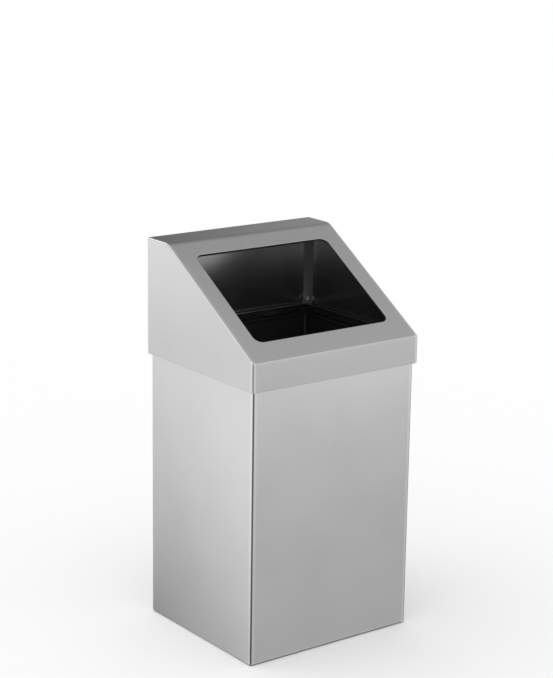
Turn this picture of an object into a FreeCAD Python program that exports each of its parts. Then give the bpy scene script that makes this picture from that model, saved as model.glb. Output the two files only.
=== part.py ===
import FreeCAD, Part
import Sketcher
import math
import os
import re

# A free-standing steel waste bin: folded body, lift-off hood with a sloping opening, and lift-out liner.
# Millimetres, +Z up, the front towards -Y, the origin on the floor under the middle of the body.

SIZES = {
    # Body of folded sheet, standing clear of the floor on its feet
    "body_width": 346,
    "body_depth": 309,
    "body_height": 535,
    "body_sheet": 1.2,
    "body_bend_radius": 3,
    "seam_flange": 24,
    "foot_stand": 3,
    "base_flange": 8.5,
    # Angle frame inside the top edge of the body
    "rim_flange": 5,
    "rim_drop": 16,
    "rim_corner_radius": 9,
    # Rivets along the two seams of the back
    "seam_rivet_diameter": 3.2,
    "seam_rivet_head": 6.4,
    "seam_rivet_rise": 1.3,
    "seam_rivet_tail": 4.6,
    "seam_rivet_tail_length": 1.8,
    "seam_rivet_inset": 12,
    "seam_rivet_margin": 42,
    # Rubber feet and what holds them
    "foot_height": 12,
    "foot_diameter": 30,
    "foot_top_diameter": 26,
    "foot_edge_radius": 1.5,
    "foot_inset": 36,
    "foot_recess_diameter": 13,
    "foot_recess_depth": 6.5,
    "washer_diameter": 11.5,
    "washer_sheet": 1,
    "screw_diameter": 5,
    "screw_head_diameter": 9.5,
    "screw_head_height": 3,
    "screw_head_radius": 1.4,
    "screw_end": 1.5,
    "nut_flats": 8,
    "nut_height": 4,
    # Hood: lip, slope, ledge and back folded from one strip between two flanged cheeks
    "hood_gap": 4.3,
    "hood_sheet": 1.2,
    "skirt_overlap": 48,
    "lip_height": 50,
    "hood_rise": 160,
    "ledge_depth": 63,
    "ledge_bend_radius": 28,
    "lip_bend_radius": 3,
    "back_bend_radius": 3,
    "cheek_flange": 6,
    "cheek_edge_radius": 3,
    "opening_side_margin": 35.5,
    "opening_low_margin": 45,
    "opening_high_margin": 38.5,
    "opening_radius": 15,
    "opening_turn": 3.5,
    "opening_edge_radius": 1,
    # Strips in the rear corners of the hood, with feet that sit on the rim
    "corner_back_reach": 9,
    "corner_side_reach": 18,
    "corner_leg": 8,
    "corner_foot": 7,
    "corner_foot_height": 6,
    "corner_foot_radius": 2.5,
    # Angle behind the lip that sits on the front rim
    "front_rest_depth": 16,
    "front_rest_drop": 20,
    "front_rest_bend": 2,
    "front_rest_end": 26,
    # Liner of thin sheet with a beaded edge
    "liner_clearance": 3,
    "liner_recess": 14,
    "liner_sheet": 0.8,
    "liner_corner_radius": 6,
    "bead_lap": 2,
    "bead_height": 5,
    "liner_floor_rise": 14,
    "liner_floor_flange": 10,
    # Wire bails and the ears that they turn in
    "handle_wire": 5,
    "handle_span": 96,
    "handle_reach": 72,
    "handle_bend": 9,
    "handle_stand": 10,
    "pivot_drop": 34,
    "pin_end": 3.5,
    "pin_clearance": 0.06,
    "ear_sheet": 1.5,
    "ear_clearance": 0.6,
    "ear_reach": 18,
    "ear_length": 24,
    "ear_height": 24,
    "ear_bend": 2.5,
    "ear_round": 7,
    "ear_rivet_diameter": 3.2,
    "ear_rivet_head": 6,
    "ear_rivet_rise": 1,
    "ear_rivet_tail": 4.4,
    "ear_rivet_tail_length": 1.2,
    "ear_rivet_spacing": 13,
    # Fits and cuts
    "hole_clearance": 0.1,
    "cut_overrun": 2,
    # How far along the ear its rivets stand, and how much of a rivet's head is rounded
    "ear_rivet_share": 0.62,
    "dome_share": 0.9,
}

SEAM_RIVET_ROWS = 5
HEX_SIDES = 6
FULL_TURN = 360
SAME = 1e-4

SIDES = {"left": -1, "right": 1}
ENDS = {"front": -1, "rear": 1}

# Places that several pieces share, as sums of the driving sizes
RIM_TOP = "(foot_stand + body_height)"
BASE_TOP = "(foot_height + body_sheet)"
INSIDE_SIDE = "(body_width / 2 - body_sheet)"
INSIDE_FRONT = "(-body_depth / 2 + body_sheet)"
INSIDE_BACK = "(body_depth / 2 - 2 * body_sheet)"
INSIDE_MIDDLE = "(-body_sheet / 2)"
HOOD_SIDE = "(body_width / 2 + hood_gap + hood_sheet)"
HOOD_BACK = "(body_depth / 2 + hood_gap + hood_sheet)"
SKIRT_LOW = f"({RIM_TOP} - skirt_overlap)"
LIP_TOP = f"({SKIRT_LOW} + lip_height)"
HOOD_TOP = f"({LIP_TOP} + hood_rise)"
LEDGE_FRONT = f"({HOOD_BACK} - ledge_depth)"
SLOPE = f"atan(hood_rise / (2 * {HOOD_BACK} - ledge_depth))"
SLOPE_LENGTH = f"(hood_rise / sin({SLOPE}))"
LINER_INSET = "(rim_flange + liner_clearance + bead_lap)"
LINER_SIDE = f"({INSIDE_SIDE} - {LINER_INSET})"
LINER_FRONT = f"({INSIDE_FRONT} + {LINER_INSET})"
LINER_BACK = f"({INSIDE_BACK} - {LINER_INSET})"
LINER_TOP = f"({RIM_TOP} - liner_recess)"
LINER_WALL_SIDE = f"({LINER_SIDE} - liner_sheet)"
PIVOT_SIDE = f"({LINER_WALL_SIDE} - handle_stand)"
PIVOT_HEIGHT = f"({LINER_TOP} - pivot_drop)"
LUG_NEAR = "(handle_span / 2 + handle_bend + ear_clearance)"
EAR_RIVET_OUT = f"({LUG_NEAR} + ear_length * ear_rivet_share)"

document = FreeCAD.newDocument("waste_bin")
sheet = document.addObject("Spreadsheet::Sheet", "Sizes")
for row, (size_name, size_value) in enumerate(SIZES.items(), start=1):
    sheet.set(f"A{row}", size_name)
    sheet.set(f"B{row}", str(size_value))
    sheet.setAlias(f"B{row}", size_name)
document.recompute()

SIZE_NAMES = re.compile(r"\b(" + "|".join(SIZES) + r")\b")
pieces = []


def formula(text):
    """A sum of named sizes with every name pointing at its cell."""
    return SIZE_NAMES.sub(r"Sizes.\1", text)


def number(text):
    """What a sum of named sizes comes to."""
    value = sheet.evalExpression(formula(text))
    return float(getattr(value, "Value", value))


def bind(item, setting, text):
    """Ties one setting of a feature to the sheet."""
    item.setExpression(setting, formula(text))


def keep(item):
    """Marks an object of the document as a finished piece."""
    pieces.append(item)
    return item


def new_body(label):
    """A body whose label names the piece."""
    body = document.addObject("PartDesign::Body", label)
    body.Label = label
    return body


def put(item, x="0", y="0", z="0"):
    """Places a body by named distances from the origin."""
    for axis, text in (("x", x), ("y", y), ("z", z)):
        bind(item, f"Placement.Base.{axis}", text)


def new_sketch(body, name, plane, away="0"):
    """A sketch on one of the body's own planes, moved off it along its normal."""
    sketch = body.newObject("Sketcher::SketchObject", name)
    support = next(item for item in body.Origin.OriginFeatures if item.Role == plane)
    sketch.AttachmentSupport = [(support, "")]
    sketch.MapMode = "FlatFace"
    bind(sketch, "AttachmentOffset.Base.z", away)
    return sketch


def dimension(sketch, constraint, text):
    """Adds a dimension and ties it to the sheet."""
    index = sketch.addConstraint(constraint)
    bind(sketch, f"Constraints[{index}]", text)


def pin_point(sketch, geometry, end, across, up):
    """Fixes one point of a sketch at named distances from the sketch's origin."""
    for kind, axis, text in (("DistanceX", -2, across), ("DistanceY", -1, up)):
        value = number(text)
        if abs(value) < SAME:
            sketch.addConstraint(Sketcher.Constraint("PointOnObject", geometry, end, axis))
        elif value > 0:
            dimension(sketch, Sketcher.Constraint(kind, -1, 1, geometry, end, value), text)
        else:
            dimension(sketch, Sketcher.Constraint(kind, geometry, end, -1, 1, -value), f"-({text})")


def rounding(before, spot, after, radius):
    """Where an arc that rounds a corner starts, ends and has its centre, and whether it turns left."""
    back = (before - spot).normalize()
    ahead = (after - spot).normalize()
    half = back.getAngle(ahead) / 2
    centre = spot + (back + ahead).normalize() * (radius / math.sin(half))
    reach = radius / math.tan(half)
    turns_left = ahead.cross(back).z > 0
    return spot + back * reach, spot + ahead * reach, centre, turns_left


def add_arc(sketch, first, last, centre, radius):
    """An arc that runs anticlockwise from first to last."""
    start = math.atan2(first.y - centre.y, first.x - centre.x)
    finish = math.atan2(last.y - centre.y, last.x - centre.x)
    circle = Part.Circle(centre, FreeCAD.Vector(0, 0, 1), radius)
    return sketch.addGeometry(Part.ArcOfCircle(circle, start, finish), False)


def outline(sketch, corners, closed=True):
    """Straight lines through named corners. A corner with a third value is rounded by that radius."""
    spots = [FreeCAD.Vector(number(corner[0]), number(corner[1]), 0) for corner in corners]
    count = len(corners)
    rounds = {}
    for index, corner in enumerate(corners):
        if len(corner) > 2:
            after = spots[(index + 1) % count]
            rounds[index] = rounding(spots[index - 1], spots[index], after, number(corner[2]))
    lines = []
    for index in range(count if closed else count - 1):
        following = (index + 1) % count
        start = rounds[index][1] if index in rounds else spots[index]
        finish = rounds[following][0] if following in rounds else spots[following]
        lines.append(sketch.addGeometry(Part.LineSegment(start, finish), False))
    for index, corner in enumerate(corners):
        if index in rounds:
            entry, leaving, centre, turns_left = rounds[index]
            first, last = (entry, leaving) if turns_left else (leaving, entry)
            arc = add_arc(sketch, first, last, centre, number(corner[2]))
            entry_end, leaving_end = (1, 2) if turns_left else (2, 1)
            sketch.addConstraint(Sketcher.Constraint("Tangent", lines[index - 1], 2, arc, entry_end))
            sketch.addConstraint(Sketcher.Constraint("Tangent", arc, leaving_end, lines[index], 1))
            dimension(sketch, Sketcher.Constraint("Radius", arc, number(corner[2])), corner[2])
            apex = sketch.addGeometry(Part.Point(spots[index]), True)
            sketch.addConstraint(Sketcher.Constraint("PointOnObject", apex, 1, lines[index - 1]))
            sketch.addConstraint(Sketcher.Constraint("PointOnObject", apex, 1, lines[index]))
            pin_point(sketch, apex, 1, corner[0], corner[1])
        elif closed or index < count - 1:
            if closed or index > 0:
                sketch.addConstraint(Sketcher.Constraint("Coincident", lines[index - 1], 2, lines[index], 1))
            pin_point(sketch, lines[index], 1, corner[0], corner[1])
        else:
            pin_point(sketch, lines[-1], 2, corner[0], corner[1])
    return sketch


def rectangle(sketch, low_x, high_x, low_y, high_y, radius=None):
    """A rectangle between named sides, with rounded corners if a radius is named."""
    corners = [(low_x, low_y), (high_x, low_y), (high_x, high_y), (low_x, high_y)]
    if radius:
        corners = [corner + (radius,) for corner in corners]
    return outline(sketch, corners)


def circles(sketch, centres, radius):
    """Equal circles at named places."""
    for across, up in centres:
        middle = FreeCAD.Vector(number(across), number(up), 0)
        circle = Part.Circle(middle, FreeCAD.Vector(0, 0, 1), number(radius))
        index = sketch.addGeometry(circle, False)
        dimension(sketch, Sketcher.Constraint("Radius", index, number(radius)), radius)
        pin_point(sketch, index, 3, across, up)
    return sketch


def pad(body, sketch, length, symmetric=False):
    """Thickens a sketch along its normal, or evenly to both sides."""
    feature = body.newObject("PartDesign::Pad", sketch.Name + "_pad")
    feature.Profile = sketch
    feature.SideType = "Symmetric" if symmetric else "One side"
    bind(feature, "Length", length)
    document.recompute()
    return feature


def cut(body, sketch, length, symmetric=False):
    """Cuts a sketch out of the body, against its normal or evenly to both sides."""
    document.recompute()
    volume_before = body.Shape.Volume
    feature = body.newObject("PartDesign::Pocket", sketch.Name + "_cut")
    feature.Profile = sketch
    feature.SideType = "Symmetric" if symmetric else "One side"
    bind(feature, "Length", length)
    document.recompute()
    if body.Shape.Volume > volume_before - SAME:
        raise RuntimeError(f"{feature.Name} cuts nothing")
    return feature


def turn(body, sketch):
    """Turns a half section about the sketch's upright axis."""
    feature = body.newObject("PartDesign::Revolution", sketch.Name + "_turned")
    feature.Profile = sketch
    feature.ReferenceAxis = (sketch, ["V_Axis"])
    feature.Angle = FULL_TURN
    document.recompute()
    return feature


def round_edges(body, radius, chosen):
    """Rounds those edges of the body so far that the test chooses."""
    base = body.Tip
    names = [f"Edge{index}" for index, edge in enumerate(base.Shape.Edges, start=1) if chosen(edge)]
    feature = body.newObject("PartDesign::Fillet", body.Name + "_rounded")
    feature.Base = (base, names)
    bind(feature, "Radius", radius)
    document.recompute()
    return feature


def all_at(edge, axis, text):
    """Whether an edge lies wholly at a named height along one axis."""
    place = number(text)
    box = edge.BoundBox
    low = getattr(box, axis.upper() + "Min")
    high = getattr(box, axis.upper() + "Max")
    return abs(low - place) < SAME and abs(high - place) < SAME


def group(label, members):
    """Like pieces that share one node as separate solids."""
    compound = document.addObject("Part::Compound", label)
    compound.Label = label
    compound.Links = members
    return keep(compound)


def seam_rivet_places():
    """The places of the rivets on the back, across and up."""
    spacing = f"(body_height - 2 * seam_rivet_margin) / {SEAM_RIVET_ROWS - 1}"
    places = []
    for side in SIDES.values():
        for row in range(SEAM_RIVET_ROWS):
            across = f"{side} * (body_width / 2 - seam_rivet_inset)"
            up = f"foot_stand + seam_rivet_margin + {row} * {spacing}"
            places.append((across, up))
    return places


def foot_places():
    """The names and places of the four feet."""
    places = {}
    for end, forward in ENDS.items():
        edge = INSIDE_BACK if forward > 0 else INSIDE_FRONT
        for side, sideways in SIDES.items():
            across = f"{sideways} * ({INSIDE_SIDE} - foot_inset)"
            places[f"{end}_{side}"] = (across, f"{edge} - {forward} * foot_inset")
    return places


def ear_places():
    """The names of the four ears with their directions from the middle of the liner."""
    return {f"{side}_{end}": (across, along) for side, across in SIDES.items() for end, along in ENDS.items()}


def body_wrap():
    """Front and sides folded from one sheet, with return flanges at the back."""
    body = new_body("body_wrap")
    half, deep = "body_width / 2", "body_depth / 2"
    inner = "body_bend_radius - body_sheet"
    tip = f"({half} - seam_flange)"
    inside, inside_deep = INSIDE_SIDE, f"({deep} - body_sheet)"
    plan = new_sketch(body, "wrap_plan", "XY_Plane", "foot_stand")
    outline(plan, [
        (tip, deep),
        (half, deep, "body_bend_radius"),
        (half, f"-{deep}", "body_bend_radius"),
        (f"-{half}", f"-{deep}", "body_bend_radius"),
        (f"-{half}", deep, "body_bend_radius"),
        (f"-{tip}", deep),
        (f"-{tip}", inside_deep),
        (f"-{inside}", inside_deep, inner),
        (f"-{inside}", f"-{inside_deep}", inner),
        (inside, f"-{inside_deep}", inner),
        (inside, inside_deep, inner),
        (tip, inside_deep),
    ])
    pad(body, plan, "body_height")
    holes = new_sketch(body, "wrap_holes", "XZ_Plane", f"-{deep}")
    circles(holes, seam_rivet_places(), "seam_rivet_diameter / 2 + hole_clearance")
    cut(body, holes, "2 * (body_sheet + cut_overrun)", symmetric=True)
    return keep(body)


def back_panel():
    """Flat sheet lapped inside the return flanges."""
    body = new_body("back_panel")
    lap = "(body_depth / 2 - body_sheet)"
    face = new_sketch(body, "back_face", "XZ_Plane", f"-{lap}")
    bend_start = "(body_width / 2 - body_bend_radius)"
    rectangle(face, f"-{bend_start}", bend_start, "foot_stand", RIM_TOP)
    pad(body, face, "body_sheet")
    holes = new_sketch(body, "back_holes", "XZ_Plane", f"-{lap}")
    circles(holes, seam_rivet_places(), "seam_rivet_diameter / 2 + hole_clearance")
    cut(body, holes, "2 * (body_sheet + cut_overrun)", symmetric=True)
    return keep(body)


def tray(label, side, front, back, top, flange, sheet_size, radius):
    """A flat sheet with a turned-down flange all round."""
    body = new_body(label)
    plan = new_sketch(body, label + "_plan", "XY_Plane", f"{top} - {flange}")
    rectangle(plan, f"-{side}", side, front, back, radius)
    pad(body, plan, flange)
    hollow = new_sketch(body, label + "_hollow", "XY_Plane", f"{top} - {sheet_size}")
    rectangle(hollow, f"-{side} + {sheet_size}", f"{side} - {sheet_size}", f"{front} + {sheet_size}",
              f"{back} - {sheet_size}", f"{radius} - {sheet_size}")
    cut(body, hollow, flange)
    return body


def base_pan():
    """Floor of the body, with holes for the feet."""
    body = tray("base_pan", INSIDE_SIDE, INSIDE_FRONT, INSIDE_BACK, BASE_TOP, "base_flange", "body_sheet",
                "body_bend_radius")
    holes = new_sketch(body, "base_holes", "XY_Plane", BASE_TOP)
    circles(holes, foot_places().values(), "screw_diameter / 2 + hole_clearance")
    cut(body, holes, "2 * (body_sheet + cut_overrun)", symmetric=True)
    return keep(body)


def rim_frame():
    """Angle frame inside the top edge, which the hood sits on."""
    body = tray("rim_frame", INSIDE_SIDE, INSIDE_FRONT, INSIDE_BACK, RIM_TOP, "rim_drop", "body_sheet",
                "body_bend_radius")
    mouth = new_sketch(body, "rim_mouth", "XY_Plane", RIM_TOP)
    rectangle(mouth, f"-{INSIDE_SIDE} + rim_flange", f"{INSIDE_SIDE} - rim_flange",
              f"{INSIDE_FRONT} + rim_flange", f"{INSIDE_BACK} - rim_flange", "rim_corner_radius")
    cut(body, mouth, "2 * (body_sheet + cut_overrun)", symmetric=True)
    return keep(body)


def feet():
    """Four rubber feet, each recessed from below for its screw."""
    for name, (across, along) in foot_places().items():
        body = new_body(f"foot_{name}")
        section = new_sketch(body, f"foot_{name}_section", "XZ_Plane")
        bore = "screw_diameter / 2 + hole_clearance"
        outline(section, [
            ("foot_recess_diameter / 2", "0"),
            ("foot_diameter / 2", "0", "foot_edge_radius"),
            ("foot_top_diameter / 2", "foot_height"),
            (bore, "foot_height"),
            (bore, "foot_recess_depth"),
            ("foot_recess_diameter / 2", "foot_recess_depth"),
        ])
        turn(body, section)
        put(body, across, along)
        keep(body)


def foot_fasteners():
    """A screw, a washer and a nut for each foot."""
    screws, washers, nuts = [], [], []
    head_top = "(foot_recess_depth - washer_sheet)"
    for name, (across, along) in foot_places().items():
        screw = new_body(f"screw_{name}")
        section = new_sketch(screw, f"screw_{name}_section", "XZ_Plane")
        end = f"{BASE_TOP} + nut_height + screw_end"
        outline(section, [
            ("0", f"{head_top} - screw_head_height"),
            ("screw_head_diameter / 2", f"{head_top} - screw_head_height", "screw_head_radius"),
            ("screw_head_diameter / 2", head_top),
            ("screw_diameter / 2", head_top),
            ("screw_diameter / 2", end),
            ("0", end),
        ])
        turn(screw, section)
        washer = new_body(f"washer_{name}")
        ring = new_sketch(washer, f"washer_{name}_section", "XZ_Plane")
        rectangle(ring, "screw_diameter / 2 + hole_clearance", "washer_diameter / 2", head_top,
                  "foot_recess_depth")
        turn(washer, ring)
        for item, items in ((screw, screws), (washer, washers)):
            put(item, across, along)
            items.append(item)
        nuts.append(hex_nut(name, across, along))
    group("foot_screws", screws)
    group("foot_washers", washers)
    group("foot_nuts", nuts)


def hex_nut(name, across, along):
    """One nut on the floor of the body."""
    block = document.addObject("Part::Prism", f"nut_{name}_block")
    block.Polygon = HEX_SIDES
    bind(block, "Circumradius", "nut_flats / sqrt(3)")
    bind(block, "Height", "nut_height")
    bore = document.addObject("Part::Cylinder", f"nut_{name}_bore")
    bind(bore, "Radius", "screw_diameter / 2 + hole_clearance")
    bind(bore, "Height", "nut_height")
    nut = document.addObject("Part::Cut", f"nut_{name}")
    nut.Base = block
    nut.Tool = bore
    put(nut, across, along, BASE_TOP)
    return nut


def rivet(name, size, grip):
    """A rivet on its own upright axis, with its head's seat at zero height."""
    body = new_body(name)
    section = new_sketch(body, f"{name}_section", "XZ_Plane")
    head, rise = f"{size}_head / 2", f"{size}_rise"
    shank, tail = f"{size}_diameter / 2", f"{size}_tail / 2"
    low = f"-({grip}) - {size}_tail_length"
    outline(section, [
        ("0", low),
        (tail, low),
        (tail, f"-({grip})"),
        (shank, f"-({grip})"),
        (shank, "0"),
        (head, "0"),
        (head, rise, f"{rise} * dome_share"),
        ("0", rise),
    ])
    turn(body, section)
    return body


def seam_rivets():
    """Rivets through the return flanges and the back."""
    rivets = []
    backwards = FreeCAD.Rotation(FreeCAD.Vector(1, 0, 0), -90)
    for index, (across, up) in enumerate(seam_rivet_places(), start=1):
        item = rivet(f"seam_rivet_{index}", "seam_rivet", "2 * body_sheet")
        item.Placement = FreeCAD.Placement(FreeCAD.Vector(0, 0, 0), backwards)
        put(item, across, "body_depth / 2", up)
        rivets.append(item)
    group("seam_rivets", rivets)


def hood_outer():
    """The outside of the hood seen from its side, from the foot of the back over the top to the lip."""
    return [
        (HOOD_BACK, SKIRT_LOW),
        (HOOD_BACK, HOOD_TOP, "back_bend_radius"),
        (LEDGE_FRONT, HOOD_TOP, "ledge_bend_radius"),
        (f"-{HOOD_BACK}", LIP_TOP, "lip_bend_radius"),
        (f"-{HOOD_BACK}", SKIRT_LOW),
    ]


def hood_inner(low):
    """The inside of the hood seen from its side, one sheet in from the outside, down to a named height."""
    lip_turn = f"tan((90 deg - {SLOPE}) / 2)"
    ledge_turn = f"tan({SLOPE} / 2)"
    front, back = f"-{HOOD_BACK} + hood_sheet", f"{HOOD_BACK} - hood_sheet"
    ceiling = f"{HOOD_TOP} - hood_sheet"
    return [
        (front, low),
        (front, f"{LIP_TOP} - hood_sheet * {lip_turn}", "lip_bend_radius - hood_sheet"),
        (f"{LEDGE_FRONT} + hood_sheet * {ledge_turn}", ceiling, "ledge_bend_radius - hood_sheet"),
        (back, ceiling, "back_bend_radius - hood_sheet"),
        (back, low),
    ]


def slope_sketch(body, name, below):
    """A sketch under the outside of the slope, at a named depth, with its origin at the lip."""
    sketch = new_sketch(body, name, "XY_Plane")
    sketch.AttachmentOffset = FreeCAD.Placement(
        FreeCAD.Vector(0, 0, 0), FreeCAD.Rotation(FreeCAD.Vector(1, 0, 0), number(SLOPE)))
    bind(sketch, "AttachmentOffset.Rotation.Angle", SLOPE)
    bind(sketch, "AttachmentOffset.Base.y", f"-{HOOD_BACK} + ({below}) * sin({SLOPE})")
    bind(sketch, "AttachmentOffset.Base.z", f"{LIP_TOP} - ({below}) * cos({SLOPE})")
    return sketch


def opening_outline(sketch, wider="0"):
    """The rounded opening in the slope, wider all round by a named distance."""
    across = f"{HOOD_SIDE} - opening_side_margin + {wider}"
    low, high = f"opening_low_margin - {wider}", f"{SLOPE_LENGTH} - opening_high_margin + {wider}"
    rectangle(sketch, f"-({across})", across, low, high, f"opening_radius + {wider}")


def on_opening(edge):
    """Whether an edge runs round the opening on the outside of the slope."""
    slope = math.radians(number(SLOPE))
    lip = FreeCAD.Vector(0, -number(HOOD_BACK), number(LIP_TOP))
    normal = FreeCAD.Vector(0, -math.sin(slope), math.cos(slope))
    across = number(f"{HOOD_SIDE} - opening_side_margin") + SAME
    spots = [vertex.Point for vertex in edge.Vertexes]
    return all(abs((spot - lip).dot(normal)) < SAME and abs(spot.x) < across for spot in spots)


def hood_wrap():
    """Lip, slope, ledge and back folded from one strip, with an opening whose edge is turned in."""
    body = new_body("hood_wrap")
    side = new_sketch(body, "hood_wrap_section", "YZ_Plane")
    outline(side, hood_outer() + hood_inner(SKIRT_LOW))
    pad(body, side, f"2 * ({HOOD_SIDE} - cheek_flange)", symmetric=True)
    edge = slope_sketch(body, "hood_opening_edge", "hood_sheet + opening_turn")
    opening_outline(edge, "hood_sheet")
    pad(body, edge, "opening_turn + hood_sheet / 2")
    opening = slope_sketch(body, "hood_opening", "0")
    opening_outline(opening)
    cut(body, opening, "2 * (hood_sheet + opening_turn + cut_overrun)", symmetric=True)
    round_edges(body, "opening_edge_radius", on_opening)
    return keep(body)


def hood_side(side):
    """One cheek of the hood, with a rounded flange that meets the folded strip edge to edge."""
    direction = SIDES[side]
    body = new_body(f"hood_{side}_side")
    near = f"{HOOD_SIDE} - cheek_flange" if direction > 0 else f"-{HOOD_SIDE}"
    cheek = new_sketch(body, f"hood_{side}_outline", "YZ_Plane", near)
    outline(cheek, hood_outer())
    pad(body, cheek, "cheek_flange")
    outer = f"{direction} * {HOOD_SIDE}"
    round_edges(body, "cheek_edge_radius",
                lambda edge: all_at(edge, "x", outer) and not all_at(edge, "z", SKIRT_LOW))
    middle = f"{direction} * ({HOOD_SIDE} - hood_sheet - cheek_flange / 2)"
    hollow = new_sketch(body, f"hood_{side}_hollow", "YZ_Plane", middle)
    outline(hollow, hood_inner(f"{SKIRT_LOW} - cut_overrun"))
    cut(body, hollow, "cheek_flange", symmetric=True)
    return keep(body)


def hood_corner(side):
    """Folded strip across a rear corner of the hood, welded to a small foot that sits on the rim."""
    direction = SIDES[side]
    body = new_body(f"hood_corner_{side}")
    cheek, back = f"({HOOD_SIDE} - hood_sheet)", f"({HOOD_BACK} - hood_sheet)"
    slant = "atan(corner_side_reach / corner_back_reach)"
    near_back = f"({cheek} - corner_back_reach)"
    near_cheek = f"({back} - corner_side_reach)"
    tuck_back = f"hood_sheet * tan({slant} / 2)"
    tuck_cheek = f"hood_sheet * tan((90 deg - {slant}) / 2)"
    plan = new_sketch(body, f"hood_corner_{side}_plan", "XY_Plane", RIM_TOP)
    points = [
        (f"{near_back} - corner_leg", back),
        (near_back, back),
        (cheek, near_cheek),
        (cheek, f"{near_cheek} - corner_leg"),
        (f"{cheek} - hood_sheet", f"{near_cheek} - corner_leg"),
        (f"{cheek} - hood_sheet", f"{near_cheek} - {tuck_cheek}"),
        (f"{near_back} - {tuck_back}", f"{back} - hood_sheet"),
        (f"{near_back} - corner_leg", f"{back} - hood_sheet"),
    ]
    outline(plan, [(f"{direction} * ({x})", y) for x, y in points])
    pad(body, plan, f"{HOOD_TOP} - back_bend_radius - {RIM_TOP}")
    foot = new_sketch(body, f"hood_corner_{side}_foot", "XY_Plane", RIM_TOP)
    inward, forward = f"corner_foot * sin({slant})", f"corner_foot * cos({slant})"
    points = [
        (near_back, back),
        (cheek, near_cheek),
        (f"{cheek} - {inward}", f"{near_cheek} - {forward}", "corner_foot_radius"),
        (f"{near_back} - {inward}", f"{back} - {forward}", "corner_foot_radius"),
    ]
    outline(foot, [(f"{direction} * ({x})", y, *radius) for x, y, *radius in points])
    pad(body, foot, "corner_foot_height")
    return keep(body)


def hood_front_rest():
    """Angle behind the lip that sits on the front rim."""
    body = new_body("hood_front_rest")
    lip = f"(-{HOOD_BACK} + hood_sheet)"
    section = new_sketch(body, "front_rest_section", "YZ_Plane")
    outline(section, [
        (lip, f"{RIM_TOP} - front_rest_drop"),
        (f"{lip} + hood_sheet", f"{RIM_TOP} - front_rest_drop"),
        (f"{lip} + hood_sheet", RIM_TOP, "front_rest_bend - hood_sheet"),
        (f"{lip} + front_rest_depth", RIM_TOP),
        (f"{lip} + front_rest_depth", f"{RIM_TOP} + hood_sheet"),
        (lip, f"{RIM_TOP} + hood_sheet", "front_rest_bend"),
    ])
    pad(body, section, f"2 * ({HOOD_SIDE} - hood_sheet - front_rest_end)", symmetric=True)
    return keep(body)


def liner_walls():
    """Rounded tube of thin sheet, standing on the floor of the body."""
    body = new_body("liner_walls")
    plan = new_sketch(body, "liner_plan", "XY_Plane", BASE_TOP)
    rectangle(plan, f"-{LINER_SIDE}", LINER_SIDE, LINER_FRONT, LINER_BACK, "liner_corner_radius")
    rectangle(plan, f"-{LINER_WALL_SIDE}", LINER_WALL_SIDE, f"{LINER_FRONT} + liner_sheet",
              f"{LINER_BACK} - liner_sheet", "liner_corner_radius - liner_sheet")
    pad(body, plan, f"{LINER_TOP} - {BASE_TOP} - bead_height")
    holes = new_sketch(body, "liner_holes", "YZ_Plane")
    circles(holes, ear_rivet_places(), "ear_rivet_diameter / 2 + hole_clearance")
    cut(body, holes, f"2 * ({LINER_SIDE} + cut_overrun)", symmetric=True)
    return keep(body)


def ear_rivet_places():
    """The places of the ears' rivets along and up each side wall."""
    places = []
    for along in ENDS.values():
        for step in (-1, 1):
            y = f"{INSIDE_MIDDLE} + {along} * {EAR_RIVET_OUT}"
            places.append((y, f"{PIVOT_HEIGHT} + {step} * ear_rivet_spacing / 2"))
    return places


def liner_rim():
    """Rolled bead on the top edge of the liner."""
    body = new_body("liner_rim")
    low = f"({LINER_TOP} - bead_height)"
    inside = "liner_sheet + bead_lap"
    plan = new_sketch(body, "bead_plan", "XY_Plane", low)
    rectangle(plan, f"-{LINER_SIDE} - bead_lap", f"{LINER_SIDE} + bead_lap", f"{LINER_FRONT} - bead_lap",
              f"{LINER_BACK} + bead_lap", "liner_corner_radius + bead_lap")
    rectangle(plan, f"-{LINER_SIDE} + {inside}", f"{LINER_SIDE} - ({inside})", f"{LINER_FRONT} + {inside}",
              f"{LINER_BACK} - ({inside})", f"liner_corner_radius - ({inside})")
    pad(body, plan, "bead_height")
    round_edges(body, "bead_lap", lambda edge: all_at(edge, "z", low) or all_at(edge, "z", LINER_TOP))
    return keep(body)


def liner_base():
    """Floor of the liner, set up from its lower edge."""
    front, back = f"({LINER_FRONT} + liner_sheet)", f"({LINER_BACK} - liner_sheet)"
    top = f"({BASE_TOP} + liner_floor_rise)"
    radius = "(liner_corner_radius - liner_sheet)"
    body = tray("liner_base", LINER_WALL_SIDE, front, back, top, "liner_floor_flange", "liner_sheet", radius)
    return keep(body)


def handle(side):
    """Wire bail that hangs inside a side wall, with pins bent outwards into its ears."""
    across = f"{SIDES[side]} * {PIVOT_SIDE}"
    body = new_body(f"handle_{side}")
    leg = "handle_span / 2"
    tip = f"{LUG_NEAR} + ear_sheet + pin_end"
    low = f"{PIVOT_HEIGHT} - handle_reach"
    route = new_sketch(body, f"handle_{side}_route", "YZ_Plane", across)
    outline(route, [
        (f"{INSIDE_MIDDLE} - ({tip})", PIVOT_HEIGHT),
        (f"{INSIDE_MIDDLE} - {leg}", PIVOT_HEIGHT, "handle_bend"),
        (f"{INSIDE_MIDDLE} - {leg}", low, "handle_bend"),
        (f"{INSIDE_MIDDLE} + {leg}", low, "handle_bend"),
        (f"{INSIDE_MIDDLE} + {leg}", PIVOT_HEIGHT, "handle_bend"),
        (f"{INSIDE_MIDDLE} + {tip}", PIVOT_HEIGHT),
    ], closed=False)
    section = new_sketch(body, f"handle_{side}_section", "XZ_Plane", f"-({INSIDE_MIDDLE} - ({tip}))")
    circles(section, [(across, PIVOT_HEIGHT)], "handle_wire / 2")
    wire = body.newObject("PartDesign::AdditivePipe", f"handle_{side}_wire")
    wire.Profile = section
    wire.Spine = route
    document.recompute()
    return keep(body)


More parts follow.
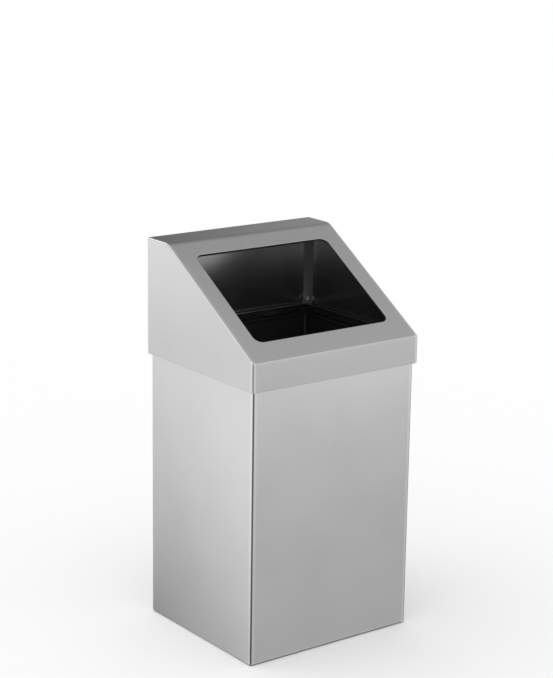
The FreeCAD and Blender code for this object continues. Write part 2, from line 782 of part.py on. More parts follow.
def ear(name, across, along):
    """Folded lug riveted to the liner, with a hole that a handle's pin turns in."""
    body = new_body(f"ear_{name}")
    wall = LINER_WALL_SIDE
    low = f"{PIVOT_HEIGHT} - ear_height / 2"
    plan = new_sketch(body, f"ear_{name}_plan", "XY_Plane", low)
    points = [
        (wall, LUG_NEAR, "ear_bend"),
        (f"{wall} - ear_reach", LUG_NEAR),
        (f"{wall} - ear_reach", f"{LUG_NEAR} + ear_sheet"),
        (f"{wall} - ear_sheet", f"{LUG_NEAR} + ear_sheet", "ear_bend - ear_sheet"),
        (f"{wall} - ear_sheet", f"{LUG_NEAR} + ear_length"),
        (wall, f"{LUG_NEAR} + ear_length"),
    ]
    corners = []
    for x, y, *bend in points:
        corners.append((f"{across} * ({x})", f"{INSIDE_MIDDLE} + {along} * ({y})", *bend))
    outline(plan, corners)
    pad(body, plan, "ear_height")
    lug_face = f"-({INSIDE_MIDDLE} + {along} * {LUG_NEAR})"
    pin_hole = new_sketch(body, f"ear_{name}_pin_hole", "XZ_Plane", lug_face)
    circles(pin_hole, [(f"{across} * {PIVOT_SIDE}", PIVOT_HEIGHT)], "handle_wire / 2 + pin_clearance")
    cut(body, pin_hole, "2 * (ear_sheet + cut_overrun)", symmetric=True)
    rivet_holes = new_sketch(body, f"ear_{name}_rivet_holes", "YZ_Plane", f"{across} * {wall}")
    near = [place for place in ear_rivet_places() if number(place[0]) * along > 0]
    circles(rivet_holes, near, "ear_rivet_diameter / 2 + hole_clearance")
    cut(body, rivet_holes, "2 * (ear_sheet + cut_overrun)", symmetric=True)
    tip = f"{across} * ({wall} - ear_reach)"
    top = f"{PIVOT_HEIGHT} + ear_height / 2"
    round_edges(body, "ear_round",
                lambda edge: all_at(edge, "x", tip) and (all_at(edge, "z", low) or all_at(edge, "z", top)))
    return keep(body)


def ear_rivets():
    """Two rivets through each ear and the wall of the liner."""
    rivets = []
    for side, across in SIDES.items():
        inwards = FreeCAD.Rotation(FreeCAD.Vector(0, 1, 0), -90 * across)
        for index, (along, up) in enumerate(ear_rivet_places(), start=1):
            item = rivet(f"ear_rivet_{side}_{index}", "ear_rivet", "ear_sheet + liner_sheet")
            item.Placement = FreeCAD.Placement(FreeCAD.Vector(0, 0, 0), inwards)
            put(item, f"{across} * ({LINER_WALL_SIDE} - ear_sheet)", along, up)
            rivets.append(item)
    group("ear_rivets", rivets)


def build():
    """Makes every piece of the bin."""
    body_wrap()
    back_panel()
    base_pan()
    rim_frame()
    feet()
    foot_fasteners()
    seam_rivets()
    hood_wrap()
    for side in SIDES:
        hood_side(side)
        hood_corner(side)
    hood_front_rest()
    liner_walls()
    liner_base()
    liner_rim()
    for side in SIDES:
        handle(side)
    for name, (across, along) in ear_places().items():
        ear(name, across, along)
    ear_rivets()
    document.recompute()


def test():
    """Stops if any feature failed or any piece is not a sound solid."""
    for item in document.Objects:
        if "Invalid" in item.State or "Error" in item.State:
            raise RuntimeError(f"{item.Name} failed")
    for piece in pieces:
        if piece.Shape.isNull() or not piece.Shape.isValid() or not piece.Shape.Solids:
            raise RuntimeError(f"{piece.Label} is not a sound solid")


def write():
    """Writes each piece to a file of its own."""
    os.makedirs("parts", exist_ok=True)
    for piece in pieces:
        piece.Shape.exportStep(f"parts/{piece.Label}.step")
        print(f"{piece.Label}: {len(piece.Shape.Solids)} solids, {piece.Shape.Volume:.1f} mm3")


build()
test()
write()
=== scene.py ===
import math

import bmesh
import bpy
from mathutils import Matrix, Vector


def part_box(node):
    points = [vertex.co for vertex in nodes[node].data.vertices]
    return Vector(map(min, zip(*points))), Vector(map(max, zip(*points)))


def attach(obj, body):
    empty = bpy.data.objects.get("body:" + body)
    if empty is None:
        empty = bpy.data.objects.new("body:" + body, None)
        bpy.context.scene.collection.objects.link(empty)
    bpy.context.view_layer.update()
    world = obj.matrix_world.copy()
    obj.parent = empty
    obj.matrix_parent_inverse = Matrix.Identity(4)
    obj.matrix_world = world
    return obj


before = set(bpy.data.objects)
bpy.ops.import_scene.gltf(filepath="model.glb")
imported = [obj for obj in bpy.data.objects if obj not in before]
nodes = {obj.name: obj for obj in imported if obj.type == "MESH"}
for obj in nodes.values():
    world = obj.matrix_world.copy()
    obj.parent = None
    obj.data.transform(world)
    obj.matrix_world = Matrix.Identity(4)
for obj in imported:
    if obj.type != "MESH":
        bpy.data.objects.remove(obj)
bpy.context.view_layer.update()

# Camera, from the photograph's own perspective
IMAGE_HEIGHT_PIXELS = 678
FOCAL_PIXELS = 1922.56
SENSOR_MM = 36
CAMERA_PLACE = Vector((-1.9757, -2.6282, 1.3691))
CAMERA_AZIMUTH = math.radians(-36.77)
CAMERA_ELEVATION = math.radians(14.41)
CAMERA_ROLL = math.radians(0.83)

# Studio, in metres
FLOOR_HALF = 40
FLOOR_COLOUR = (0.93, 0.93, 0.93, 1)
FLOOR_ROUGHNESS = 0.9
AMBIENT_STRENGTH = 0.75
WHITE_STRENGTH = 1
SUN_STRENGTH = 1.1
SUN_ANGLE = math.radians(100)
SUN_SIDE = Vector((-0.4, 0.1, 0.9))

# Directions on the floor: away from the left face, and along it towards the front
LEFT_OUT = Vector((-0.906, -0.423, 0))
LEFT_ALONG = Vector((0.423, -0.906, 0))

# Studio cards, in metres: the middle, half the length from the near end to the far end, half the width,
# and the glow at the two corners of each end, where less than 0 is black
CARD_STEPS = 8
LEFT_CARD_LIFT = Vector((0, 0, 0.002))
STUDIO_CARDS = {
    # The floor cards paint shade and light onto the floor as only the metal sees it: darker near the base as
    # painted shade, paler further out, while the floor itself is evenly white
    "left_floor_card": {
        "middle": LEFT_OUT * 0.345 + LEFT_ALONG * -0.9 + LEFT_CARD_LIFT,
        "along": LEFT_OUT * 0.255, "across": LEFT_ALONG * 0.95,
        "near_glow": (0.22, 0.41), "far_glow": (1.66, 1.34)},
    "far_left_floor_card": {
        "middle": LEFT_OUT * 0.5 + LEFT_ALONG * -3.25 + LEFT_CARD_LIFT,
        "along": LEFT_ALONG * -1.4, "across": LEFT_OUT * 0.5,
        "near_glow": (0.62, 0.84), "far_glow": (1.95, 2.2)},
    "front_floor_card": {
        "middle": Vector((0.7, -1.18, 0.001)), "along": Vector((0, -1.02, 0)), "across": Vector((1.3, 0, 0)),
        "near_glow": (0.56, 0.43), "far_glow": (0.73, 0.85)},
    "far_front_floor_card": {
        "middle": Vector((1.9, -2.6, 0.001)), "along": Vector((0, -0.4, 0)), "across": Vector((0.8, 0, 0)),
        "near_glow": (1.9, 1.9), "far_glow": (1.9, 1.9)},
    "overhead_card": {
        "middle": Vector((1.2, 0.5, 2.4)), "along": Vector((0, 1.5, 0)), "across": Vector((2.4, 0, 0)),
        "near_glow": (0.95, 0.95), "far_glow": (0.05, 0.05)},
    "back_card": {
        "middle": Vector((1.56, 2.08, 1.9)), "along": Vector((1.2, -0.9, 0)), "across": Vector((0, 0, 1.6)),
        "near_glow": (-0.17, -0.17), "far_glow": (0.84, 0.84)},
    "ledge_edge_card": {
        "middle": Vector((-1.05, 1.55, 2.05)),
        "along": Vector((0.5, 0.5, 0.3)), "across": Vector((0.4, -0.4, 0.5)),
        "near_glow": (0.3, 0.3), "far_glow": (3.9, 3.9)},
    "slope_edge_card": {
        "middle": Vector((-1.35, 0.33, 2.12)),
        "along": Vector((0.25, 0.45, 0)), "across": Vector((0.4, -0.22, 0.37)),
        "near_glow": (1.5, 1.5), "far_glow": (1.5, 1.5)},
}

# Points inside the folds of the sheet, in metres
HOOD_MIDDLE = (0, 0, 0.58)
BODY_MIDDLE = (0, 0, 0.3)

# Bends: outer radii in metres, the share of a radius left where a bend's painted dark reflection is full, and
# the painted highlight beside a bend, as multiples of its radius and of the sheet's grey
BODY_BEND = 0.003
HOOD_BEND = 0.003
LINER_BEND = 0.005
BEND_FULL_SHARE = 0.6
BEND_HIGHLIGHT_REACH = 3
BEND_HIGHLIGHT = 1.15

# The middle half of a noise, where nearly all of its values lie
NOISE_LOW = 0.25
NOISE_HIGH = 0.75

# Stainless sheet: noise in cells a metre, depths in metres, roughness, and spreads as shares of its grey
GRAIN_FINE = 2400
GRAIN_LONG = 40
GRAIN_DETAIL = 3
GRAIN_DEPTH = 1e-5
GRAIN_ROUGHNESS = (0.25, 0.33)
SHEET_CLOUDS = 7
SHEET_CLOUD_DETAIL = 3
SHEET_CLOUD_SPREAD = 0.03
SHEET_CLOUD_ROUGHNESS = 0.04
SHEET_WAVES = 2.6
SHEET_WAVE_DETAIL = 1
SHEET_WAVE_DEPTH = 6e-4

# Lower and upper edges of the sheet: their height in metres, the hem's share of the sheet's grey, which
# paints a shadow along the lower edge, and the grey of the rim, which paints shade along the upper edge
EDGE_REACH = 0.0008
HEM_SHADOW_SHARE = 0.9
RIM_EDGE_SHADE_GREY = 0.12

# Distances from the middle, in metres, between which the rim frame darkens towards its sides, as painted
# shade
SIDE_REACH = (0.04, 0.16)

# Inside of the folds: grey, painted darker than the outside as painted shade, and its spread, roughness, the
# share of dust, and how far across a corner a face stands to gather more of it
INNER_SHADE_GREY = 0.27
INNER_SPREAD = 0.06
INNER_ROUGHNESS = (0.21, 0.25)
DUST_SHARE = 0.05
SLANT = 0.1

# Greys of the stainless pieces, some painted darker as painted shade, the dust added on the corner strips,
# and the roughness added where dull
BODY_GREY = 0.66
# Painted reflection: the front bends of the body painted dark
BODY_BEND_REFLECTION_GREY = 0.12
INNER_SHEET_GREY = 0.45
# Painted shade: the rim frame darker than the body, and darker still towards its sides
RIM_FRAME_SHADE_GREY = 0.42
RIM_SIDE_SHADE_GREY = 0.08
# Painted shade: the rim frame's faces inside the folds
RIM_INNER_SHADE_GREY = 0.25
RIM_DULL = 0.22
# Painted shade: the hood strip darker than the body
HOOD_SHADE_GREY = 0.525
CHEEK_GREY = 0.59
# Painted reflection: the front bends of the cheeks painted dark
CHEEK_BEND_REFLECTION_GREY = 0.3
STRIP_GREY = 0.5
# Painted shade: the corner strips' faces inside the folds
STRIP_INNER_SHADE_GREY = 0.32
STRIP_DUST = 0.3
RIVET_GREY = 0.55
WELD_GREY = 0.3
WELD_DULL = 0.12

# Black coat of the liner, and its rim's share of the coat's light, which paints the rim darker as painted
# shade
COAT_GREYS = (0.014, 0.02)
COAT_BEND_GREY = 0.05
COAT_SPECULAR = 0.25
COAT_ROUGHNESS = (0.34, 0.42)
COAT_PEEL = 700
COAT_PEEL_DETAIL = 2
COAT_PEEL_DEPTH = 3e-5
COAT_CLOUDS = 9
COAT_CLOUD_DETAIL = 3
LINER_RIM_ROUGHNESS = (0.7, 0.8)
LINER_RIM_SHADE_SHARE = 0.6

# Zinc plate
ZINC_DARK = (0.5, 0.51, 0.53)
ZINC_LIGHT = (0.64, 0.65, 0.67)
ZINC_ROUGHNESS = (0.24, 0.4)
ZINC_CLOUDS = 120
ZINC_CLOUD_DETAIL = 4
ZINC_GRIT = 1500
ZINC_GRIT_DETAIL = 2
ZINC_GRIT_DEPTH = 1e-5

# Rubber of the feet
RUBBER_DARK = (0.018, 0.018, 0.019)
RUBBER_LIGHT = (0.035, 0.035, 0.036)
RUBBER_ROUGHNESS = (0.62, 0.82)
RUBBER_CLOUDS = 60
RUBBER_GRIT = 1100
RUBBER_DETAIL = 3
RUBBER_GRIT_DEPTH = 8e-5

# Strips in the rear corners of the hood, in metres: sheet, foot, and reach along the back and the cheek
STRIP_SHEET = 0.0012
STRIP_FOOT = 0.006
STRIP_BACK_REACH = 0.009
STRIP_SIDE_REACH = 0.018

# Weld beads on the feet of the strips: sizes in metres, how far they lean out for their height, how hollow
# they are, and steps along and across
WELD_HALF_WIDTH = 0.0045
WELD_HEIGHT = 0.009
WELD_SEAT = 0.0002
WELD_LEAN_SHARE = 0.7
WELD_HOLLOW_SHARE = 0.5
WELD_STEPS = 10


def add(tree, kind, **settings):
    """A shader node, with its own settings by name."""
    item = tree.nodes.new(kind)
    for name, value in settings.items():
        setattr(item, name, value)
    return item


def fill(item, **values):
    """Sets a node's input sockets by name, with underscores for spaces."""
    for name, value in values.items():
        item.inputs[name.replace("_", " ")].default_value = value
    return item


def new_object(name, data):
    """An object in the scene, made from a mesh, a lamp or a camera."""
    item = bpy.data.objects.new(name, data)
    bpy.context.scene.collection.objects.link(item)
    return item


def new_material(name):
    """A material with its node tree and its shader."""
    material = bpy.data.materials.new(name)
    material.use_nodes = True
    tree = material.node_tree
    return material, tree, tree.nodes["Principled BSDF"]


def grey(level):
    return (level, level, level)


def stretched_noise(tree, cells, detail):
    """Noise in the part's own frame, with its own number of cells a metre along X, Y and Z."""
    place = add(tree, "ShaderNodeTexCoord")
    mapping = fill(add(tree, "ShaderNodeMapping"), Scale=cells)
    texture = fill(add(tree, "ShaderNodeTexNoise"), Scale=1, Detail=detail)
    tree.links.new(place.outputs["Object"], mapping.inputs["Vector"])
    tree.links.new(mapping.outputs["Vector"], texture.inputs["Vector"])
    return texture.outputs["Fac"]


def even_noise(tree, cells, detail):
    """Noise with as many cells a metre along each axis."""
    return stretched_noise(tree, (cells, cells, cells), detail)


def spread(tree, value, low, high, from_low=NOISE_LOW, from_high=NOISE_HIGH):
    """A value spread over a range, from the middle half of a noise if nothing else is said."""
    item = add(tree, "ShaderNodeMapRange")
    fill(item, From_Min=from_low, From_Max=from_high, To_Min=low, To_Max=high)
    tree.links.new(value, item.inputs["Value"])
    return item.outputs["Result"]


def between(tree, share, low, high):
    """A colour between two, each given as numbers or as another colour's socket."""
    item = add(tree, "ShaderNodeMix", data_type="RGBA")
    tree.links.new(share, item.inputs["Factor"])
    for socket, colour in (("A", low), ("B", high)):
        if isinstance(colour, bpy.types.NodeSocket):
            tree.links.new(colour, item.inputs[socket])
        else:
            item.inputs[socket].default_value = (*colour, 1)
    return item.outputs["Result"]


def tint(tree, value, dark, light):
    """A colour between two, by a noise value."""
    return between(tree, spread(tree, value, 0, 1), dark, light)


def clouded(tree, clouds, level, share):
    """A grey that wanders by a share of its level to both sides."""
    return tint(tree, clouds, grey(level * (1 - share)), grey(level * (1 + share)))


def calculate(tree, operation, first, second=None):
    """The result of one step of arithmetic on values, each a number or a socket."""
    item = add(tree, "ShaderNodeMath", operation=operation)
    for socket, value in zip(item.inputs, (first, second)):
        if isinstance(value, bpy.types.NodeSocket):
            tree.links.new(value, socket)
        elif value is not None:
            socket.default_value = value
    return item.outputs["Value"]


def mixed(tree, share, low, high):
    """A value between two sockets."""
    item = add(tree, "ShaderNodeMix", data_type="FLOAT")
    tree.links.new(share, item.inputs["Factor"])
    tree.links.new(low, item.inputs["A"])
    tree.links.new(high, item.inputs["B"])
    return item.outputs["Result"]


def bump(tree, height, depth, below=None, strength=None):
    """A bump of a real depth in metres, on top of another one, and weaker where strength says."""
    item = fill(add(tree, "ShaderNodeBump"), Strength=1, Distance=depth)
    tree.links.new(height, item.inputs["Height"])
    if strength:
        tree.links.new(strength, item.inputs["Strength"])
    if below:
        tree.links.new(below, item.inputs["Normal"])
    return item.outputs["Normal"]


def axis_values(tree, output):
    """The X, Y and Z of a place or a normal in the part's own frame."""
    place = add(tree, "ShaderNodeTexCoord")
    axes = add(tree, "ShaderNodeSeparateXYZ")
    tree.links.new(place.outputs[output], axes.inputs["Vector"])
    return axes.outputs


def inner_faces(tree, middle):
    """1 on faces that look towards a point inside the sheet's folds, and 0 on those that look away."""
    place = add(tree, "ShaderNodeTexCoord")
    offset = add(tree, "ShaderNodeVectorMath", operation="SUBTRACT")
    offset.inputs[1].default_value = middle
    facing = add(tree, "ShaderNodeVectorMath", operation="DOT_PRODUCT")
    tree.links.new(place.outputs["Object"], offset.inputs[0])
    tree.links.new(offset.outputs["Vector"], facing.inputs[0])
    tree.links.new(place.outputs["Normal"], facing.inputs[1])
    return calculate(tree, "LESS_THAN", facing.outputs["Value"], 0)


def slanted_faces(tree):
    """1 on upright faces that stand across a corner, and 0 on those square to the part."""
    axes = axis_values(tree, "Normal")
    both = calculate(tree, "MULTIPLY", axes["X"], axes["Y"])
    return calculate(tree, "GREATER_THAN", calculate(tree, "ABSOLUTE", both), SLANT)


def lower_edge(tree, node):
    """1 along the lower edge of a node, and 0 above it."""
    low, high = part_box(node)
    height = axis_values(tree, "Object")["Z"]
    return spread(tree, height, 1, 0, low.z + EDGE_REACH, low.z + EDGE_REACH * 2)


def upper_edge(tree, node):
    """1 along the upper edge of a node, and 0 below it."""
    low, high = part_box(node)
    height = axis_values(tree, "Object")["Z"]
    return spread(tree, height, 0, 1, high.z - EDGE_REACH * 2, high.z - EDGE_REACH)


def towards_sides(tree):
    """0 near the middle of the part, growing to 1 at its left and right sides."""
    across = calculate(tree, "ABSOLUTE", axis_values(tree, "Object")["X"])
    return spread(tree, across, 0, 1, *SIDE_REACH)


def upright_bends(tree, node, radius, rear=False):
    """1 along the upright bends at the front of a node, or along all four, and 0 on its flat faces."""
    low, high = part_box(node)
    axes = axis_values(tree, "Object")
    across = calculate(tree, "ABSOLUTE", axes["X"])
    along = calculate(tree, "MULTIPLY", axes["Y"], -1)
    if rear:
        along = calculate(tree, "ABSOLUTE", along)
    full = radius * BEND_FULL_SHARE
    near_side = spread(tree, across, 0, 1, high.x - radius, high.x - full)
    near_front = spread(tree, along, 0, 1, -low.y - radius, -low.y - full)
    return calculate(tree, "MULTIPLY", near_side, near_front)


def edge_tones(tree, colour, light, bend, hem, rim, sides):
    """The sheet's colour with its bends painted dark as painted reflection with a painted highlight beside
    them, a painted shadow along its hem, and painted shade on its upper rim and towards its sides, where it
    has them.
    """
    if bend:
        edge, radius, dark = bend
        highlight_band = upright_bends(tree, edge, radius * BEND_HIGHLIGHT_REACH)
        colour = between(tree, highlight_band, colour, grey(light * BEND_HIGHLIGHT))
        colour = between(tree, upright_bends(tree, edge, radius), colour, grey(dark))
    if hem:
        colour = between(tree, lower_edge(tree, hem), colour, grey(light * HEM_SHADOW_SHARE))
    if rim:
        colour = between(tree, upper_edge(tree, rim), colour, grey(RIM_EDGE_SHADE_GREY))
    if sides:
        colour = between(tree, towards_sides(tree), colour, grey(sides))
    return colour


def stainless(name, grain, light, middle=None, bend=None, hem=None, rim=None, sides=None,
              inside=INNER_SHADE_GREY, corner_dust=0, dull=0):
    """Satin stainless sheet, brushed along one axis of the part, with its faces inside the folds painted
    darker as painted shade and a film of dust on them.
    """
    material, tree, shader = new_material(name)
    fill(shader, Metallic=1)
    cells = [GRAIN_FINE] * 3
    cells["XYZ".index(grain)] = GRAIN_LONG
    lines = stretched_noise(tree, cells, GRAIN_DETAIL)
    clouds = even_noise(tree, SHEET_CLOUDS, SHEET_CLOUD_DETAIL)
    waves = even_noise(tree, SHEET_WAVES, SHEET_WAVE_DETAIL)
    colour = clouded(tree, clouds, light, SHEET_CLOUD_SPREAD)
    colour = edge_tones(tree, colour, light, bend, hem, rim, sides)
    smooth, rough = GRAIN_ROUGHNESS
    brushed = spread(tree, lines, smooth + dull, rough + dull)
    satin = calculate(tree, "ADD", brushed, spread(tree, clouds, 0, SHEET_CLOUD_ROUGHNESS))
    flatness = None
    if middle:
        inner = inner_faces(tree, middle)
        colour = between(tree, inner, colour, clouded(tree, clouds, inside, INNER_SPREAD))
        satin = mixed(tree, inner, satin, spread(tree, clouds, *INNER_ROUGHNESS))
        dust = spread(tree, slanted_faces(tree), DUST_SHARE, DUST_SHARE + corner_dust, 0, 1)
        dust = calculate(tree, "MULTIPLY", inner, dust)
        tree.links.new(calculate(tree, "SUBTRACT", 1, dust), shader.inputs["Metallic"])
        flatness = calculate(tree, "SUBTRACT", 1, inner)
    tree.links.new(colour, shader.inputs["Base Color"])
    tree.links.new(satin, shader.inputs["Roughness"])
    ripple = bump(tree, waves, SHEET_WAVE_DEPTH, strength=flatness)
    tree.links.new(bump(tree, lines, GRAIN_DEPTH, ripple, flatness), shader.inputs["Normal"])
    return material


def coated_black(name, bend=None, roughness=COAT_ROUGHNESS, share=1):
    """Black powder coat with a fine orange peel, paler down the bends of the liner."""
    material, tree, shader = new_material(name)
    peel = even_noise(tree, COAT_PEEL, COAT_PEEL_DETAIL)
    clouds = even_noise(tree, COAT_CLOUDS, COAT_CLOUD_DETAIL)
    fill(shader, Specular_IOR_Level=COAT_SPECULAR * share)
    dark, light = COAT_GREYS
    colour = tint(tree, clouds, grey(dark * share), grey(light * share))
    if bend:
        bends = upright_bends(tree, "liner_walls", bend, rear=True)
        colour = between(tree, bends, colour, grey(COAT_BEND_GREY))
    tree.links.new(colour, shader.inputs["Base Color"])
    tree.links.new(spread(tree, clouds, *roughness), shader.inputs["Roughness"])
    tree.links.new(bump(tree, peel, COAT_PEEL_DEPTH), shader.inputs["Normal"])
    return material


def zinc(name):
    """Bright zinc plate, slightly cloudy."""
    material, tree, shader = new_material(name)
    fill(shader, Metallic=1)
    clouds = even_noise(tree, ZINC_CLOUDS, ZINC_CLOUD_DETAIL)
    grit = even_noise(tree, ZINC_GRIT, ZINC_GRIT_DETAIL)
    tree.links.new(tint(tree, clouds, ZINC_DARK, ZINC_LIGHT), shader.inputs["Base Color"])
    tree.links.new(spread(tree, clouds, *ZINC_ROUGHNESS), shader.inputs["Roughness"])
    tree.links.new(bump(tree, grit, ZINC_GRIT_DEPTH), shader.inputs["Normal"])
    return material


def rubber(name):
    """Matt black rubber with a moulded grain."""
    material, tree, shader = new_material(name)
    grit = even_noise(tree, RUBBER_GRIT, RUBBER_DETAIL)
    clouds = even_noise(tree, RUBBER_CLOUDS, RUBBER_DETAIL)
    tree.links.new(tint(tree, clouds, RUBBER_DARK, RUBBER_LIGHT), shader.inputs["Base Color"])
    tree.links.new(spread(tree, grit, *RUBBER_ROUGHNESS), shader.inputs["Roughness"])
    tree.links.new(bump(tree, grit, RUBBER_GRIT_DEPTH), shader.inputs["Normal"])
    return material


def dress(names, material):
    """Gives CAD nodes a finish, in their own material slots."""
    for name in names:
        node = nodes[name]
        if not node.material_slots:
            node.data.materials.append(material)
        for slot in node.material_slots:
            slot.material = material


def named(*starts):
    """The CAD nodes whose names start with any of these words."""
    return [name for name in nodes if name.startswith(starts)]


def finish_body():
    body_bend = ("body_wrap", BODY_BEND, BODY_BEND_REFLECTION_GREY)
    dress(["body_wrap"],
          stainless("stainless_body", "Z", BODY_GREY, BODY_MIDDLE, bend=body_bend, rim="body_wrap"))
    dress(["back_panel", "base_pan"], stainless("stainless_inner_sheet", "X", INNER_SHEET_GREY, BODY_MIDDLE))
    dress(["rim_frame"],
          stainless("stainless_rim", "X", RIM_FRAME_SHADE_GREY, BODY_MIDDLE, sides=RIM_SIDE_SHADE_GREY, inside=RIM_INNER_SHADE_GREY,
                    dull=RIM_DULL))
    dress(["seam_rivets"], stainless("rivet_steel", "X", RIVET_GREY, BODY_MIDDLE))
    dress(named("foot_front", "foot_rear"), rubber("foot_rubber"))


def finish_hood():
    """Finishes of the hood. Both cheeks share one, which takes its edges from the right one."""
    cheek_bend = ("hood_right_side", HOOD_BEND, CHEEK_BEND_REFLECTION_GREY)
    dress(["hood_wrap"], stainless("stainless_hood_strip", "X", HOOD_SHADE_GREY, HOOD_MIDDLE, hem="hood_wrap"))
    dress(["hood_left_side", "hood_right_side"],
          stainless("stainless_cheek", "Y", CHEEK_GREY, HOOD_MIDDLE, bend=cheek_bend, hem="hood_right_side"))
    dress(["hood_corner_left", "hood_corner_right", "hood_front_rest"],
          stainless("stainless_strip", "Z", STRIP_GREY, HOOD_MIDDLE, inside=STRIP_INNER_SHADE_GREY,
                    corner_dust=STRIP_DUST))


def finish_liner():
    dress(["liner_walls"], coated_black("liner_wall_coat", LINER_BEND))
    dress(["liner_base"], coated_black("liner_coat"))
    # The liner's rim takes a share of the coat's grey and gloss: painted shade
    dress(["liner_rim"], coated_black("liner_rim_coat", roughness=LINER_RIM_ROUGHNESS, share=LINER_RIM_SHADE_SHARE))


def finish_fittings():
    dress(named("ear_", "handle_", "foot_screws", "foot_washers", "foot_nuts"), zinc("zinc_plate"))


def weld_section(foot, inward, rise):
    """One section across a weld bead: hollow in front, with its heel set into the strip and its foot."""
    section = [foot - inward * WELD_SEAT - Vector((0, 0, WELD_SEAT))]
    for step in range(WELD_STEPS + 1):
        angle = math.pi / 2 * step / WELD_STEPS
        out = rise * WELD_LEAN_SHARE * (1 - math.sin(angle) * WELD_HOLLOW_SHARE) * math.cos(angle)
        section.append(foot + inward * out + Vector((0, 0, rise * math.sin(angle))))
    return section


def skin(mesh, slices):
    """Faces between neighbouring slices of a bead, and one across each end."""
    count = len(slices[0])
    for near, far in zip(slices, slices[1:]):
        for index in range(count):
            after = (index + 1) % count
            mesh.faces.new((near[index], near[after], far[after], far[index]))
    mesh.faces.new(slices[0][::-1])
    mesh.faces.new(slices[-1])
    bmesh.ops.recalc_face_normals(mesh, faces=mesh.faces)


def corner_weld(side, direction, material):
    """Weld bead where a corner strip of the hood stands on its foot, highest in the middle."""
    low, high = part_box(f"hood_corner_{side}")
    cheek = high.x if direction > 0 else -low.x
    reach = Vector((STRIP_BACK_REACH, -STRIP_SIDE_REACH, 0))
    along = reach.normalized()
    inward = Vector((along.y, -along.x, 0))
    strip_end = Vector((cheek - STRIP_BACK_REACH, high.y, low.z + STRIP_FOOT))
    middle = strip_end + reach / 2 + inward * STRIP_SHEET
    mesh = bmesh.new()
    slices = []
    for step in range(WELD_STEPS + 1):
        place = 2 * step / WELD_STEPS - 1
        rise = WELD_HEIGHT * (1 - place * place) + WELD_SEAT
        section = weld_section(middle + along * place * WELD_HALF_WIDTH, inward, rise)
        slices.append([mesh.verts.new((point.x * direction, point.y, point.z)) for point in section])
    skin(mesh, slices)
    data = bpy.data.meshes.new(f"corner_weld_{side}")
    mesh.to_mesh(data)
    mesh.free()
    data.shade_smooth()
    data.materials.append(material)
    weld = new_object(f"corner_weld_{side}", data)
    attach(weld, "hood")


def corner_welds():
    weld_steel = stainless("stainless_weld", "Z", WELD_GREY, dull=WELD_DULL)
    for side, direction in (("left", -1), ("right", 1)):
        corner_weld(side, direction, weld_steel)


def white_world():
    """White to look at, also in the metal, and a plain soft light on the rest."""
    world = bpy.data.worlds.new("studio")
    world.use_nodes = True
    tree = world.node_tree
    rays = add(tree, "ShaderNodeLightPath").outputs
    seen = calculate(tree, "MAXIMUM", rays["Is Camera Ray"], rays["Is Glossy Ray"])
    shown = calculate(tree, "MAXIMUM", seen, rays["Is Transmission Ray"])
    level = spread(tree, shown, AMBIENT_STRENGTH, WHITE_STRENGTH, 0, 1)
    background = fill(tree.nodes["Background"], Color=(1, 1, 1, 1))
    tree.links.new(level, background.inputs["Strength"])
    bpy.context.scene.world = world


def pale_floor():
    mesh = bpy.data.meshes.new("floor")
    far = FLOOR_HALF
    mesh.from_pydata([(-far, -far, 0), (far, -far, 0), (far, far, 0), (-far, far, 0)], [], [(0, 1, 2, 3)])
    floor = new_object("floor", mesh)
    material, tree, shader = new_material("floor_paint")
    fill(shader, Base_Color=FLOOR_COLOUR, Roughness=FLOOR_ROUGHNESS, Specular_IOR_Level=0)
    mesh.materials.append(material)


def soft_sun():
    """A very wide sun from the upper left, which the metal doesn't mirror."""
    lamp = bpy.data.lights.new("soft_sun", "SUN")
    lamp.energy = SUN_STRENGTH
    lamp.angle = SUN_ANGLE
    sun = new_object("soft_sun", lamp)
    sun.rotation_euler = SUN_SIDE.to_track_quat("Z", "Y").to_euler()
    sun.visible_glossy = False


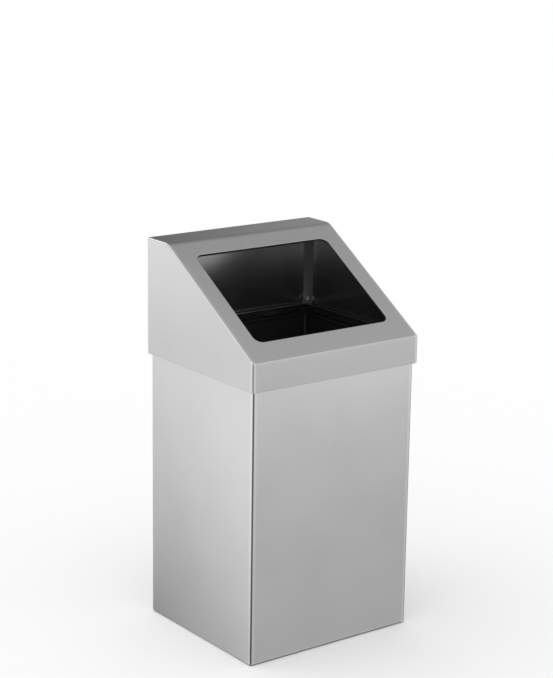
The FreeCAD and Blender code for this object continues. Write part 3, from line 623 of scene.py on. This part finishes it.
def glowing(name):
    """The glow of a studio card, from its own grey levels."""
    material = bpy.data.materials.new(name)
    material.use_nodes = True
    tree = material.node_tree
    tree.nodes.remove(tree.nodes["Principled BSDF"])
    level = add(tree, "ShaderNodeAttribute", attribute_name="glow")
    glow = add(tree, "ShaderNodeEmission")
    tree.links.new(level.outputs["Fac"], glow.inputs["Strength"])
    tree.links.new(glow.outputs["Emission"], tree.nodes["Material Output"].inputs["Surface"])
    return material


def card(name, material, middle, along, across, near_glow, far_glow):
    """A studio card that only the metal sees, with a glow that runs evenly between its corners."""
    row = CARD_STEPS + 1
    points, glows = [], []
    for index in range(row * row):
        far, over = index // row / CARD_STEPS, index % row / CARD_STEPS
        points.append(middle + along * (2 * far - 1) + across * (2 * over - 1))
        near_level, far_level = (first + (last - first) * over for first, last in (near_glow, far_glow))
        glows.append(max(0, near_level + (far_level - near_level) * far))
    faces = [(at, at + 1, at + 1 + row, at + row) for at in range(row * CARD_STEPS) if (at + 1) % row]
    mesh = bpy.data.meshes.new(name)
    mesh.from_pydata(points, [], faces)
    glow = mesh.attributes.new("glow", "FLOAT", "POINT")
    glow.data.foreach_set("value", glows)
    mesh.materials.append(material)
    item = new_object(name, mesh)
    for ray in ("camera", "diffuse", "transmission", "volume_scatter", "shadow"):
        setattr(item, f"visible_{ray}", False)


def studio_cards():
    card_glow = glowing("card_glow")
    for name, settings in STUDIO_CARDS.items():
        card(name, card_glow, **settings)


def photo_camera():
    """The camera at the photograph's place, angle and focal length."""
    lens = bpy.data.cameras.new("photo_camera")
    lens.sensor_fit = "VERTICAL"
    lens.sensor_height = SENSOR_MM
    lens.lens = FOCAL_PIXELS / IMAGE_HEIGHT_PIXELS * SENSOR_MM
    camera = new_object("photo_camera", lens)
    level = math.cos(CAMERA_ELEVATION)
    back = Vector((math.sin(CAMERA_AZIMUTH) * level,
                   -math.cos(CAMERA_AZIMUTH) * level,
                   math.sin(CAMERA_ELEVATION)))
    right = Vector((0, 0, 1)).cross(back).normalized()
    up = back.cross(right)
    turned = Matrix((right, up, back)).transposed() @ Matrix.Rotation(CAMERA_ROLL, 3, "Z")
    camera.matrix_world = Matrix.Translation(CAMERA_PLACE) @ turned.to_4x4()
    bpy.context.scene.camera = camera


finish_body()
finish_hood()
finish_liner()
finish_fittings()
corner_welds()
white_world()
pale_floor()
soft_sun()
studio_cards()
photo_camera()
bpy.context.scene.view_settings.view_transform = "Standard"
